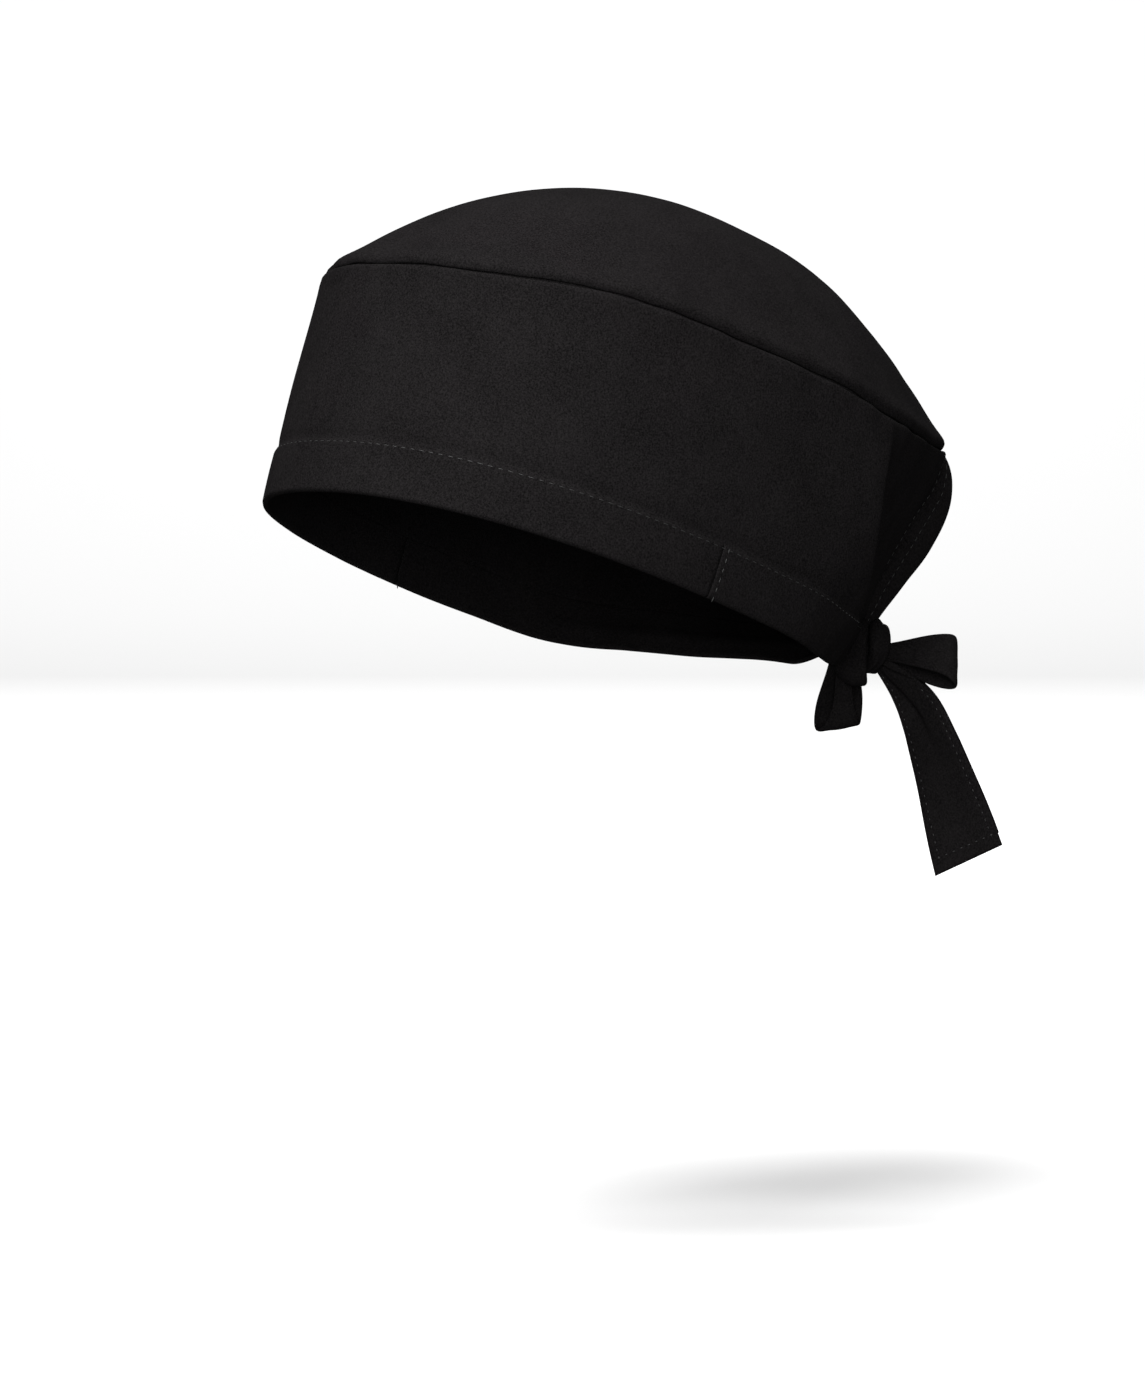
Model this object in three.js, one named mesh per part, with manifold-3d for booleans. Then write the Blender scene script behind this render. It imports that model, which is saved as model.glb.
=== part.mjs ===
// A tie-back scrub cap in the shape it takes on a head: a domed crown panel, a deep side panel,
// a stitched hem round the brow, and two ties that take over from the hem and meet in a bow
// at the nape. Millimetres, +Z up. The cap faces -Y, the bow is at +Y, the wearer's left is +X.
// The origin is the centre of the head opening.
import * as THREE from "three";
import { mergeVertices } from "three/addons/utils/BufferGeometryUtils.js";
import Module from "manifold-3d";

const wasm = await Module();
wasm.setup();

// How the cap sits on a head: the rim is higher over the brow than at the nape.
const WORN_TILT_DEG = 20;

// Head opening, measured in its own plane.
const RIM_HALF_WIDTH = 79;
const RIM_FRONT = 100.5;
const RIM_BACK = 106;
const NAPE_LIFT = 15;
const NAPE_LIFT_FROM_DEG = 115;
const NAPE_DRAW = 9;
const NAPE_DRAW_FROM_DEG = 158;

// Seam between the side panel and the crown panel.
const SEAM_HALF_WIDTH = 79;
const SEAM_FRONT = 104;
const SEAM_BACK = 131.7;
const BAND_HEIGHT = 75;

// Crown and the slack cloth at the back.
const CROWN_HEIGHT = 129;
const CROWN_MIDDLE = 14;
const BACK_BULGE = 12;
const FOLD_DEPTH = 14;
const END_POWER = 0.5;

// Cloth.
const CLOTH_WALL = 1.2;
const HEM_WIDTH = 17;
const HEM_WALL = 2;
const HEM_PROUD = 0.4;
const CLEARANCE = 0.3;

// Where the ties take over from the hem, and where they run into the knot, round from the front.
const TIE_START_DEG = 87;
const TIE_END_DEG = 174;

// Ties and bow.
const TIE_WIDTH = 24;
const TIE_WALL = 1.6;
const KNOT_WIDTH = 17;
const KNOT_HEIGHT = 17;
const KNOT_DEPTH = 15;
const KNOT_BACK = 123;
const KNOT_LIFT = 11;
const KNOT_ASIDE = 3;
const KNOT_LOBE_SHARE = 0.12;
const BOW_TURN_DEG = 38;
const LOOP_LENGTH = 28;
const LOOP_GAPE = 11.7;
const LOOP_MOUTH_TURN = 0.3;
const TAIL_LENGTH = 72;
const TAIL_SPACING = 7;
const TAIL_SHIFT = 1.75;
const RIGHT_TAIL_SHARE = 0.95;

const DEG = Math.PI / 180;

// Powers of the plan outline: squarer than an ellipse over the brow, pointed at the nape.
const BROW_POWER = 2.3;
const NAPE_POWER = 1.47;
const NAPE_BLEND = 1.1;

// How flat the crown is on top before it falls to its seam.
const CROWN_POWER = 2.6;

// Height of the seam and bulge of the side panel round the cap,
// as shares of BAND_HEIGHT and BACK_BULGE.
const ROUND = [
  { turn: 0, seam: 0.97, bulge: 0.0 },
  { turn: 30, seam: 0.975, bulge: 0.0 },
  { turn: 60, seam: 1.03, bulge: 0.1 },
  { turn: 90, seam: 1.045, bulge: 0.2 },
  { turn: 120, seam: 1.06, bulge: 0.35 },
  { turn: 150, seam: 1.193, bulge: 0.35 },
  { turn: 180, seam: 1.32, bulge: 1.17 },
];

// Folds that run from the knot up to the crown seam. low and high say where a fold lies round the
// cap at the rim and at the seam, bend how late it turns to the low one, from and to where it starts
// and ends between them, before and after are its half widths in degrees, and out is its height as
// a share of FOLD_DEPTH. A low power makes it sharp.
const FOLDS = [
  { low: 150, high: 111, bend: 3, from: 0.05, to: 1.03, before: 10, after: 2.6, out: 0.2, power: 1.3 },
  { low: 157, high: 118, bend: 2.7, from: -0.05, to: 1, before: 5, after: 38, out: -0.42, power: 2 },
  { low: 163, high: 156, bend: 1, from: 0.16, to: 1.08, before: 15, after: 12, out: -0.3, power: 2 },
  { low: 180, high: 180, bend: 1, from: -0.03, to: 1.2, before: 15.6, after: 3.5, out: -0.86, power: 2 },
  { low: 207, high: 190, bend: 1, from: 0.09, to: 1.7, before: 12, after: 24, out: 1.75, power: 2 },
  { low: 218, high: 224, bend: 1, from: 0, to: 1, before: 8, after: 8, out: -0.35, power: 2 },
  { low: 230, high: 240, bend: 1, from: 0.1, to: 1, before: 5, after: 8, out: 0.25, power: 1.3 },
];

// The tail's middle line from the knot, as shares of TAIL_LENGTH, its width as a share of TIE_WIDTH,
// how far it is twisted out of the bow's plane, and how far its end is cut askew, in degrees.
const TAIL = [
  { aside: 0.02, down: 0.0, width: 0.3, twist: 30, skew: 0 },
  { aside: 0.09, down: 0.1, width: 0.36, twist: 30, skew: 0 },
  { aside: 0.175, down: 0.2, width: 0.56, twist: 30, skew: 0 },
  { aside: 0.25, down: 0.31, width: 0.8, twist: 33, skew: 0 },
  { aside: 0.31, down: 0.46, width: 0.97, twist: 34, skew: 0 },
  { aside: 0.385, down: 0.68, width: 1.01, twist: 24, skew: 3 },
  { aside: 0.475, down: 0.975, width: 1.04, twist: 3, skew: 9 },
];

// The loops. length, and aside for where a loop starts, are shares of LOOP_LENGTH. droop is the
// angle below level, and lean the angle at which the cloth's width leans out of the upright, both in
// degrees. lower is how far the loop starts below the knot's middle, as a share of LOOP_LENGTH.
// width is a share of TIE_WIDTH at the fold of the loop, and pleat the same at the knot.
const LOOPS = {
  left: { length: 1.0, aside: 0.04, lower: 0.08, droop: 8, lean: 42, width: 0.66, pleat: 0.25 },
  right: { length: 0.92, aside: -0.2, lower: 0, droop: 85, lean: -35, width: 0.58, pleat: 0.25 },
};

// Meshing.
const ROUND_COLUMNS = 96;
const BACK_CROWDING_DEG = 24;
const SIDE_ROWS = 9;
const CROWN_ROWS = 8;
const CROWN_LAST_RUN = 1.9;
const HEM_ROWS = 2;
const HEM_COLUMNS = 42;
const BAND_COLUMNS = 26;
const STRIP_COLUMNS = 4;
const STRIP_ROWS = 22;

const mix = (a, b, t) => a + (b - a) * t;
const steps = (count) => Array.from({ length: count + 1 }, (_, i) => i / count);

function smooth(t) {
  const s = Math.min(1, Math.max(0, t));
  return s * s * (3 - 2 * s);
}

// Degrees from the front, 0 to 180, the same on the left and the right.
const fromFront = (turn) => Math.abs(((((turn + 180) % 360) + 360) % 360) - 180);

// A column of ROUND at an angle from the front, on a smooth curve through the rows.
function around(column, turn) {
  const last = ROUND.length - 1;
  const place = fromFront(turn) / ROUND[1].turn;
  const k = Math.min(last - 1, Math.floor(place));
  const row = (i) => ROUND[i < 0 ? -i : i > last ? 2 * last - i : i][column];
  const [before, start, end, after] = [row(k - 1), row(k), row(k + 1), row(k + 2)];
  const t = place - k;
  const square = 2 * before - 5 * start + 4 * end - after;
  const cube = 3 * (start - end) + after - before;
  return start + 0.5 * t * (end - before + t * (square + t * cube));
}

function outline(turn, halfWidth, front, back) {
  const across = Math.sin(turn * DEG);
  const along = -Math.cos(turn * DEG);
  const power = 2 / mix(BROW_POWER, NAPE_POWER, smooth(along * NAPE_BLEND));
  const reach = along < 0 ? front : back;
  return {
    x: halfWidth * Math.sign(across) * Math.abs(across) ** power,
    y: reach * Math.sign(along) * Math.abs(along) ** power,
  };
}

// The opening is drawn up and back towards the knot.
function rimPoint(turn) {
  const { x, y } = outline(turn, RIM_HALF_WIDTH, RIM_FRONT, RIM_BACK);
  const lift = NAPE_LIFT * smooth((fromFront(turn) - NAPE_LIFT_FROM_DEG) / (180 - NAPE_LIFT_FROM_DEG));
  const draw = NAPE_DRAW * smooth((fromFront(turn) - NAPE_DRAW_FROM_DEG) / (180 - NAPE_DRAW_FROM_DEG));
  return new THREE.Vector3(x, y + draw, lift);
}

function seamPoint(turn) {
  const { x, y } = outline(turn, SEAM_HALF_WIDTH, SEAM_FRONT, SEAM_BACK);
  return new THREE.Vector3(x, y, BAND_HEIGHT * around("seam", turn));
}

// A rise and fall between two places, quick at its ends.
function swell(place, from, to) {
  const share = Math.min(1, Math.max(0, (place - from) / (to - from)));
  return Math.sin(Math.PI * share) ** END_POWER;
}

// A point of the cloth between the rim (up 0) and the crown seam (up 1).
function bandPoint(turn, up) {
  const point = rimPoint(turn).lerp(seamPoint(turn), up);
  let out = BACK_BULGE * around("bulge", turn) * swell(up, 0, 1);
  for (const fold of FOLDS) {
    const lateness = Math.min(1, Math.max(0, 1 - up)) ** fold.bend;
    const away = (((turn % 360) + 360) % 360) - mix(fold.high, fold.low, lateness);
    const spread = away < 0 ? fold.before : fold.after;
    const shape = Math.exp(-((Math.abs(away) / spread) ** fold.power));
    const ends = swell(up, 0, 1) * swell(up, fold.from, fold.to);
    out += FOLD_DEPTH * fold.out * shape * ends;
  }
  point.x += out * Math.sin(turn * DEG);
  point.y -= out * Math.cos(turn * DEG);
  return point;
}

// A point of the crown between the seam (rise 0) and its middle (rise 1).
function crownPoint(turn, rise) {
  const edge = seamPoint(turn);
  const share = 1 - rise;
  return new THREE.Vector3(
    edge.x * share,
    mix(CROWN_MIDDLE, edge.y, share),
    mix(CROWN_HEIGHT, edge.z, share ** CROWN_POWER),
  );
}

// The whole cap as one cloth: run goes from 0 at the rim to 1 at the seam and 2 at the crown's middle.
const clothPoint = (turn, run) => (run <= 1 ? bandPoint(turn, run) : crownPoint(turn, run - 1));

// Outward direction of the cloth. The step spans a seam, so two panels share it there.
function clothNormal(turn, run) {
  const step = 0.02;
  const alongRow = clothPoint(turn + 1, run).sub(clothPoint(turn - 1, run));
  const upRow = clothPoint(turn, run + step).sub(clothPoint(turn, run - step));
  return alongRow.cross(upRow).normalize();
}

// A length up the side of the cap, as a share of the way from the rim to the seam.
const shareUp = (length, turn) => length / rimPoint(turn).distanceTo(seamPoint(turn));

// A closed wall between an outer and an inner grid of points, open at its edges or closed round,
// with a pole in its last row where one is given.
function wallGeometry(outer, inner, { round = false, poles = null } = {}) {
  const rows = outer.length;
  const columns = outer[0].length;
  const vertices = [...outer.flat(), ...inner.flat()];
  const faces = [];
  const at = (side, i, j) => (side * rows + j) * columns + (i % columns);
  const quad = (a, b, c, d) => faces.push(a, b, c, a, c, d);
  const spans = round ? columns : columns - 1;
  for (let j = 0; j < rows - 1; j++) {
    for (let i = 0; i < spans; i++) {
      quad(at(0, i, j), at(0, i + 1, j), at(0, i + 1, j + 1), at(0, i, j + 1));
      quad(at(1, i, j), at(1, i, j + 1), at(1, i + 1, j + 1), at(1, i + 1, j));
    }
    if (!round) {
      quad(at(1, 0, j), at(0, 0, j), at(0, 0, j + 1), at(1, 0, j + 1));
      const end = columns - 1;
      quad(at(0, end, j), at(1, end, j), at(1, end, j + 1), at(0, end, j + 1));
    }
  }
  const top = rows - 1;
  if (poles) vertices.push(...poles);
  const pole = 2 * rows * columns;
  for (let i = 0; i < spans; i++) {
    quad(at(1, i, 0), at(1, i + 1, 0), at(0, i + 1, 0), at(0, i, 0));
    if (poles) {
      faces.push(at(0, i, top), at(0, i + 1, top), pole);
      faces.push(at(1, i + 1, top), at(1, i, top), pole + 1);
    } else {
      quad(at(0, i, top), at(0, i + 1, top), at(1, i + 1, top), at(1, i, top));
    }
  }
  const geometry = new THREE.BufferGeometry();
  const numbers = vertices.flatMap((vertex) => vertex.toArray());
  geometry.setAttribute("position", new THREE.Float32BufferAttribute(numbers, 3));
  geometry.setIndex(faces);
  return geometry;
}

// A piece of the cap's cloth over the given angles, from one run to another,
// with its outer face proud of the cloth.
function clothPiece({ turns, from, to, rows, wall, proud = 0, round = false, closed = false }) {
  const face = (depth) =>
    steps(rows).map((t) =>
      turns.map((turn) => {
        const run = mix(from(turn), to(turn), t);
        return clothPoint(turn, run).addScaledVector(clothNormal(turn, run), proud - depth);
      }),
    );
  const outer = face(0);
  const inner = face(wall);
  if (!closed) return wallGeometry(outer, inner, { round });
  const top = clothPoint(0, 2);
  return wallGeometry(outer, inner, { round, poles: [top, top.clone().setZ(top.z - wall)] });
}

// Angles round the cap, crowded towards the back, where the folds are.
function turnsBetween(from, to, count) {
  return steps(count).map((t) => {
    const even = mix(from, to, t);
    return even + BACK_CROWDING_DEG * Math.sin(even * DEG);
  });
}

// A flat strip of cloth along a line, grown by a margin on its faces and edges. Each step of
// the line has a middle, a direction across the strip and a width.
function stripGeometry(line, margin) {
  const thick = TIE_WALL + 2 * margin;
  const grids = [0, thick].map((depth) =>
    line.map(({ middle, across, width }, i) => {
      const before = line[Math.max(0, i - 1)].middle;
      const after = line[Math.min(line.length - 1, i + 1)].middle;
      const normal = across.clone().cross(after.clone().sub(before)).normalize();
      return steps(STRIP_COLUMNS).map((t) =>
        middle
          .clone()
          .addScaledVector(across, (t - 0.5) * (width + 2 * margin))
          .addScaledVector(normal, thick / 2 - depth),
      );
    }),
  );
  return wallGeometry(grids[0], grids[1]);
}

// A row between the rows of a table, on a smooth curve through them.
function between(table, share) {
  const last = table.length - 1;
  const k = Math.min(last - 1, Math.floor(share * last));
  const t = share * last - k;
  const row = (i) => table[Math.min(last, Math.max(0, i))];
  const [before, start, end, after] = [row(k - 1), row(k), row(k + 1), row(k + 2)];
  const blend = (name) => {
    const square = 2 * before[name] - 5 * start[name] + 4 * end[name] - after[name];
    const cube = 3 * (start[name] - end[name]) + after[name] - before[name];
    return start[name] + 0.5 * t * (end[name] - before[name] + t * (square + t * cube));
  };
  return Object.fromEntries(Object.keys(start).map((name) => [name, blend(name)]));
}

// A free end of a tie, in the bow's own frame: x aside, y away from the cap's left side, z up.
function tailGeometry(length, shift, margin = 0) {
  const nudge = 0.01;
  const place = (share) => {
    const { aside, down } = between(TAIL, share);
    return new THREE.Vector3(aside * length, 0, -down * length).add(shift);
  };
  const line = steps(STRIP_ROWS).map((share) => {
    const { width, twist, skew } = between(TAIL, share);
    const [start, end] = [place(Math.max(0, share - nudge)), place(Math.min(1, share + nudge))];
    const along = end.sub(start).normalize();
    const across = new THREE.Vector3(-along.z, 0, along.x).applyAxisAngle(along, twist * DEG);
    across.multiplyScalar(Math.cos(skew * DEG)).addScaledVector(along, -Math.sin(skew * DEG));
    return { middle: place(share), across, width: width * TIE_WIDTH };
  });
  return stripGeometry(line, margin).applyMatrix4(bowFrame);
}

// A loop of a tie, in the bow's own frame: out from the knot on one face and back on the other.
function loopGeometry({ length, aside, lower, droop, lean, width, pleat }, side, margin = 0) {
  const reach = length * LOOP_LENGTH;
  const out = new THREE.Vector3(side * Math.cos(droop * DEG), 0, -Math.sin(droop * DEG));
  const upright = new THREE.Vector3(0, -1, 0).cross(out).multiplyScalar(-side);
  const across = upright.applyAxisAngle(out, -side * lean * DEG);
  const gape = out.clone().cross(across);
  const line = steps(STRIP_ROWS).map((share) => {
    const turn = mix(LOOP_MOUTH_TURN, 2 * Math.PI - LOOP_MOUTH_TURN, share);
    const far = (1 - Math.cos(turn)) / 2;
    const middle = out
      .clone()
      .multiplyScalar(far * reach)
      .add(new THREE.Vector3(aside * LOOP_LENGTH, 0, -lower * LOOP_LENGTH))
      .addScaledVector(gape, (LOOP_GAPE / 2) * Math.sin(turn) * Math.sqrt(far));
    return { middle, across, width: TIE_WIDTH * mix(pleat, width, Math.sqrt(far)) };
  });
  return stripGeometry(line, margin).applyMatrix4(bowFrame);
}

function toSolid(geometry) {
  const plain = new THREE.BufferGeometry().setAttribute("position", geometry.getAttribute("position"));
  plain.setIndex(geometry.index);
  const merged = mergeVertices(plain, 1e-4);
  const mesh = new wasm.Mesh({
    numProp: 3,
    vertProperties: merged.attributes.position.array,
    triVerts: new Uint32Array(merged.index.array),
  });
  return new wasm.Manifold(mesh);
}

// The largest body left of a geometry when solids are cut from it.
function cutFrom(geometry, ...tools) {
  const left = tools.reduce((solid, tool) => solid.subtract(tool), toSolid(geometry));
  const bodies = left.decompose();
  const largest = bodies.reduce((a, b) => (a.volume() > b.volume() ? a : b));
  const mesh = largest.getMesh();
  const result = new THREE.BufferGeometry();
  result.setAttribute("position", new THREE.BufferAttribute(mesh.vertProperties, 3));
  result.setIndex(new THREE.BufferAttribute(mesh.triVerts, 1));
  return result;
}

const cap = new THREE.Group();

function addPiece(name, geometry) {
  const mesh = new THREE.Mesh(
    geometry,
    new THREE.MeshStandardMaterial({ color: 0x161617, roughness: 0.9, metalness: 0 }),
  );
  mesh.name = name;
  cap.add(mesh);
}

// From the cap's own frame, with a level rim, to the frame in which it is worn.
const worn = new THREE.Matrix4().makeRotationX(-WORN_TILT_DEG * DEG);
const knotPlace = new THREE.Vector3(KNOT_ASIDE, KNOT_BACK, NAPE_LIFT + KNOT_LIFT).applyMatrix4(worn);
const bowFrame = new THREE.Matrix4().makeRotationZ(BOW_TURN_DEG * DEG).setPosition(knotPlace);

// The knot: a lump with three rounded lobes, where one tie wraps over the other.
function knotGeometry(clearance) {
  const geometry = new THREE.SphereGeometry(1, 24, 16);
  const position = geometry.getAttribute("position");
  const point = new THREE.Vector3();
  for (let i = 0; i < position.count; i++) {
    point.fromBufferAttribute(position, i);
    const turn = Math.atan2(point.z, point.x);
    const lobe = 1 + KNOT_LOBE_SHARE * Math.sin(3 * turn + 0.6) * (1 - point.y ** 2);
    point.set(
      point.x * ((KNOT_WIDTH / 2) * lobe + clearance),
      point.y * (KNOT_DEPTH / 2 + clearance),
      point.z * ((KNOT_HEIGHT / 2) * lobe + clearance),
    );
    position.setXYZ(i, point.x, point.y, point.z);
  }
  return geometry.applyMatrix4(bowFrame);
}
const knotRoom = toSolid(knotGeometry(CLEARANCE));

const allRound = turnsBetween(0, 360, ROUND_COLUMNS).slice(0, -1);
const sidePanel = clothPiece({
  turns: allRound,
  from: (turn) => shareUp(HEM_WIDTH + CLEARANCE / 2, turn),
  to: (turn) => 1 - shareUp(CLEARANCE / 2, turn),
  rows: SIDE_ROWS,
  wall: CLOTH_WALL,
  round: true,
});
const crownPanel = clothPiece({
  turns: allRound,
  from: (turn) => 1 + shareUp(CLEARANCE / 2, turn),
  to: () => CROWN_LAST_RUN,
  rows: CROWN_ROWS,
  wall: CLOTH_WALL,
  round: true,
  closed: true,
});

// A stretch of the folded edge, from one angle to another, grown by a margin all round.
function edgePiece(fromTurn, toTurn, count, margin = 0) {
  const more = margin / RIM_HALF_WIDTH / DEG;
  const piece = clothPiece({
    turns: steps(count).map((t) => mix(fromTurn - more, toTurn + more, t)),
    from: (turn) => -shareUp(margin, turn),
    to: (turn) => shareUp(HEM_WIDTH - CLEARANCE / 2 + margin, turn),
    rows: HEM_ROWS,
    wall: HEM_WALL + 2 * margin,
    proud: HEM_PROUD + margin,
  });
  return piece.applyMatrix4(worn);
}
const halfGapDeg = CLEARANCE / 2 / RIM_HALF_WIDTH / DEG;
const bandStart = TIE_START_DEG + halfGapDeg;
const frontHem = edgePiece(halfGapDeg - TIE_START_DEG, TIE_START_DEG - halfGapDeg, HEM_COLUMNS);
const leftBand = (margin) => edgePiece(bandStart, TIE_END_DEG, BAND_COLUMNS, margin);
const rightBand = (margin) => edgePiece(-TIE_END_DEG, -bandStart, BAND_COLUMNS, margin);

// The side panel keeps clear of the bands where its folds lean over them.
const overBands = toSolid(leftBand(CLEARANCE * 0.8)).add(toSolid(rightBand(CLEARANCE * 0.8)));

// What each piece of the bow keeps clear of.
const bandRoom = toSolid(leftBand(CLEARANCE)).add(toSolid(rightBand(CLEARANCE)));
const loops = {
  left_loop: (margin) => loopGeometry(LOOPS.left, 1, margin),
  right_loop: (margin) => loopGeometry(LOOPS.right, -1, margin),
};
const loopRoom = toSolid(loops.left_loop(CLEARANCE)).add(toSolid(loops.right_loop(CLEARANCE)));
const behindLeftTail = new THREE.Vector3(-TAIL_SHIFT, TAIL_SPACING, 0);
const tails = {
  left_tail: tailGeometry(TAIL_LENGTH, new THREE.Vector3()),
  right_tail: tailGeometry(TAIL_LENGTH * RIGHT_TAIL_SHARE, behindLeftTail),
};

addPiece("crown_panel", crownPanel.applyMatrix4(worn));
addPiece("side_panel", cutFrom(sidePanel.applyMatrix4(worn), knotRoom, overBands));
addPiece("front_hem", frontHem);
addPiece("left_tie_band", cutFrom(leftBand(0), knotRoom));
addPiece("right_tie_band", cutFrom(rightBand(0), knotRoom));
addPiece("knot", knotGeometry(0));
for (const [name, loop] of Object.entries(loops)) {
  addPiece(name, cutFrom(loop(0), knotRoom, bandRoom));
}
for (const [name, tail] of Object.entries(tails)) {
  addPiece(name, cutFrom(tail, knotRoom, bandRoom, loopRoom));
}

export default cap;
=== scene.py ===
"""A black tie-back scrub cap in the shape it takes on a head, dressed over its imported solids.

Every surface is worked out in the cap's own frame in millimetres (level rim, +Z up, front -Y,
wearer's left +X), then turned into the worn frame in metres.
"""

import math

import bmesh
import bpy
import numpy as np
from mathutils import Matrix, Vector


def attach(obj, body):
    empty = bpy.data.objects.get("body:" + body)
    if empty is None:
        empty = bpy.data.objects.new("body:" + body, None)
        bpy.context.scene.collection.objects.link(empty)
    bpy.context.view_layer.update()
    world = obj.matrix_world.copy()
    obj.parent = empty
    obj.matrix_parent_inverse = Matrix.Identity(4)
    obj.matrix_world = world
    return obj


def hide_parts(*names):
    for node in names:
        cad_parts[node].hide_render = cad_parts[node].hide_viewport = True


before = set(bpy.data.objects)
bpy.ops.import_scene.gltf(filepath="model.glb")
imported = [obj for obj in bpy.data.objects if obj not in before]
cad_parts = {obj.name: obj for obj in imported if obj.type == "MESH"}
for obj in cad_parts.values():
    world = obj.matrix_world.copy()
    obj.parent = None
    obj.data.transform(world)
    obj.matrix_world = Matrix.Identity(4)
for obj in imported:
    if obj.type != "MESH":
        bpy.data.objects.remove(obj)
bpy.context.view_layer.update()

MM = 0.001

# Sizes of the cap in millimetres and degrees, the same as its solids'.
WORN_TILT_DEG = 20
RIM_HALF_WIDTH, RIM_FRONT, RIM_BACK = 79, 100.5, 106
NAPE_LIFT, NAPE_LIFT_FROM_DEG = 15, 115
NAPE_DRAW, NAPE_DRAW_FROM_DEG = 9, 158
SEAM_HALF_WIDTH, SEAM_FRONT, SEAM_BACK = 79, 104, 131.7
BAND_HEIGHT = 75
CROWN_HEIGHT, CROWN_MIDDLE, CROWN_POWER = 129, 14, 2.6
BACK_BULGE, FOLD_DEPTH, END_POWER = 12, 14, 0.5
CLOTH_WALL, HEM_WIDTH, HEM_WALL, HEM_PROUD = 1.2, 17, 2.0, 0.5
TIE_START_DEG, TIE_END_DEG = 87, 174
TIE_WIDTH, TIE_WALL = 24, 1.5
KNOT_BACK, KNOT_LIFT, KNOT_ASIDE = 123, 11, 3
BOW_TURN_DEG = 38
LOOP_LENGTH, LOOP_MOUTH_TURN = 28, 0.3
TAIL_LENGTH, TAIL_SPACING, TAIL_SHIFT, RIGHT_TAIL_SHARE = 72, 7, 1.75, 0.95
BROW_POWER, NAPE_POWER, NAPE_BLEND = 2.3, 1.47, 1.1
CROWN_TOP_POWER = 2.0
SEAM_GAP, SEAM_ALLOWANCE, ALLOWANCE_WALL, HEM_LAP = 0.32, 8, 0.9, 4
HEM_EDGE_GAP, HEM_JOINT_GAP_DEG = 0.06, 0.005
CROWN_RUN_LENGTH = 92.0
RIGHT_TAIL_ASIDE = 0.3 * TAIL_SHIFT

# Finish of the cloth in millimetres: each depth or height, then its place, half width or size.
SEAM_GROOVE, SEAM_GROOVE_REACH = 1.7, 1.0
CROWN_ROLL, BAND_ROLL, ROLL_PLACE, ROLL_REACH = 0.75, 0.12, 1.5, 3.2
LONG_PUCKER, LONG_PUCKER_SIZE = 0.85, 21.0
SHORT_PUCKER, SHORT_PUCKER_SIZE, PUCKER_REACH = 0.45, 8.0, 9.0
HEM_DIP, HEM_DIP_REACH = 0.45, 2.6
HEM_PUCKER, HEM_PUCKER_REACH = 0.16, 6.0
BACK_MM_PER_DEG = 2.1
BACK_GROOVE, BACK_GROOVE_REACH = 0.9, 0.9
BACK_PUCKER, BACK_PUCKER_SIZE, BACK_PUCKER_REACH = 0.5, 7.0, 5.0
BROAD_RUMPLE, BROAD_RUMPLE_SIZE = 0.75, (24.0, 24.0, 34.0)
SMALL_RUMPLE, SMALL_RUMPLE_SIZE = 0.22, (9.0, 9.0, 14.0)
TURNED_IN, TURNED_IN_FROM_DEG = 2.4, 166

# Stitches: pitch, length and thickness of thread in metres, and where they run in millimetres.
HEM_STITCH = (0.0031, 0.0019, 0.00032)
BACK_STITCH = (0.003, 0.0019, 0.00032)
TIE_START_STITCH = (0.0028, 0.0017, 0.0004)
TAIL_STITCH = (0.0026, 0.0009, 0.00036)
HEM_STITCH_DROP, THREAD_LIFT = 1.3, 0.03

# Shades of the cloth and the threads.
CLOTH_SHADE, GREY_SHADE, DARK_SHADE, PALE_SHADE = 0.0075, 0.012, 0.011, 0.018

ROUND = {
    "turn": (0, 30, 60, 90, 120, 150, 180),
    "seam": (0.97, 0.975, 1.03, 1.045, 1.06, 1.193, 1.32),
    "bulge": (0.0, 0.0, 0.1, 0.2, 0.35, 0.35, 1.17),
}

# Folds of the side panel. low and high are a fold's places at the rim and at the seam, bend how late
# it turns to the low one, start and end where it fades, before and after its half widths, all in
# degrees or shares of the panel's height. out is its height as a share of FOLD_DEPTH.
FOLDS = (
    dict(low=150, high=111, bend=3.0, start=0.05, end=1.03, before=10, after=2.2, out=0.25, power=1.1),
    dict(low=157, high=118, bend=2.7, start=-0.05, end=1.0, before=5, after=34, out=-0.6, power=2),
    dict(low=163, high=156, bend=1, start=0.16, end=1.08, before=15, after=12, out=-0.3, power=2),
    dict(low=180, high=180, bend=1, start=-0.03, end=1.2, before=15.6, after=2.0, out=-0.86, power=2),
    dict(low=207, high=190, bend=1, start=0.09, end=1.7, before=12, after=24, out=1.75, power=2),
    dict(low=218, high=224, bend=1, start=0.0, end=1.0, before=8, after=8, out=-0.35, power=2),
    dict(low=230, high=240, bend=1, start=0.1, end=1.0, before=5, after=8, out=0.25, power=1.3),
)


# Small mathematics.
def mix(a, b, t):
    return a + (b - a) * t


def smooth(t):
    s = np.clip(t, 0.0, 1.0)
    return s * s * (3 - 2 * s)


def bump(distance, width, power=2.0):
    return np.exp(-((np.abs(distance) / width) ** power))


def unit(v):
    return v / np.maximum(np.linalg.norm(v, axis=-1, keepdims=True), 1e-9)


def from_front(turn):
    return np.abs(np.mod(np.mod(turn + 180, 360) + 360, 360) - 180)


def spline(rows, place):
    """A smooth curve through evenly spaced rows, at places counted in rows."""
    rows = np.asarray(rows, float)
    last = len(rows) - 1
    k = np.clip(np.floor(place).astype(int), 0, last - 1)
    t = (place - k).reshape(place.shape + (1,) * (rows.ndim - 1))
    before, start = rows[np.maximum(k - 1, 0)], rows[k]
    end, after = rows[k + 1], rows[np.minimum(k + 2, last)]
    square = 2 * before - 5 * start + 4 * end - after
    cube = 3 * (start - end) + after - before
    return start + 0.5 * t * (end - before + t * (square + t * cube))


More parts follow.
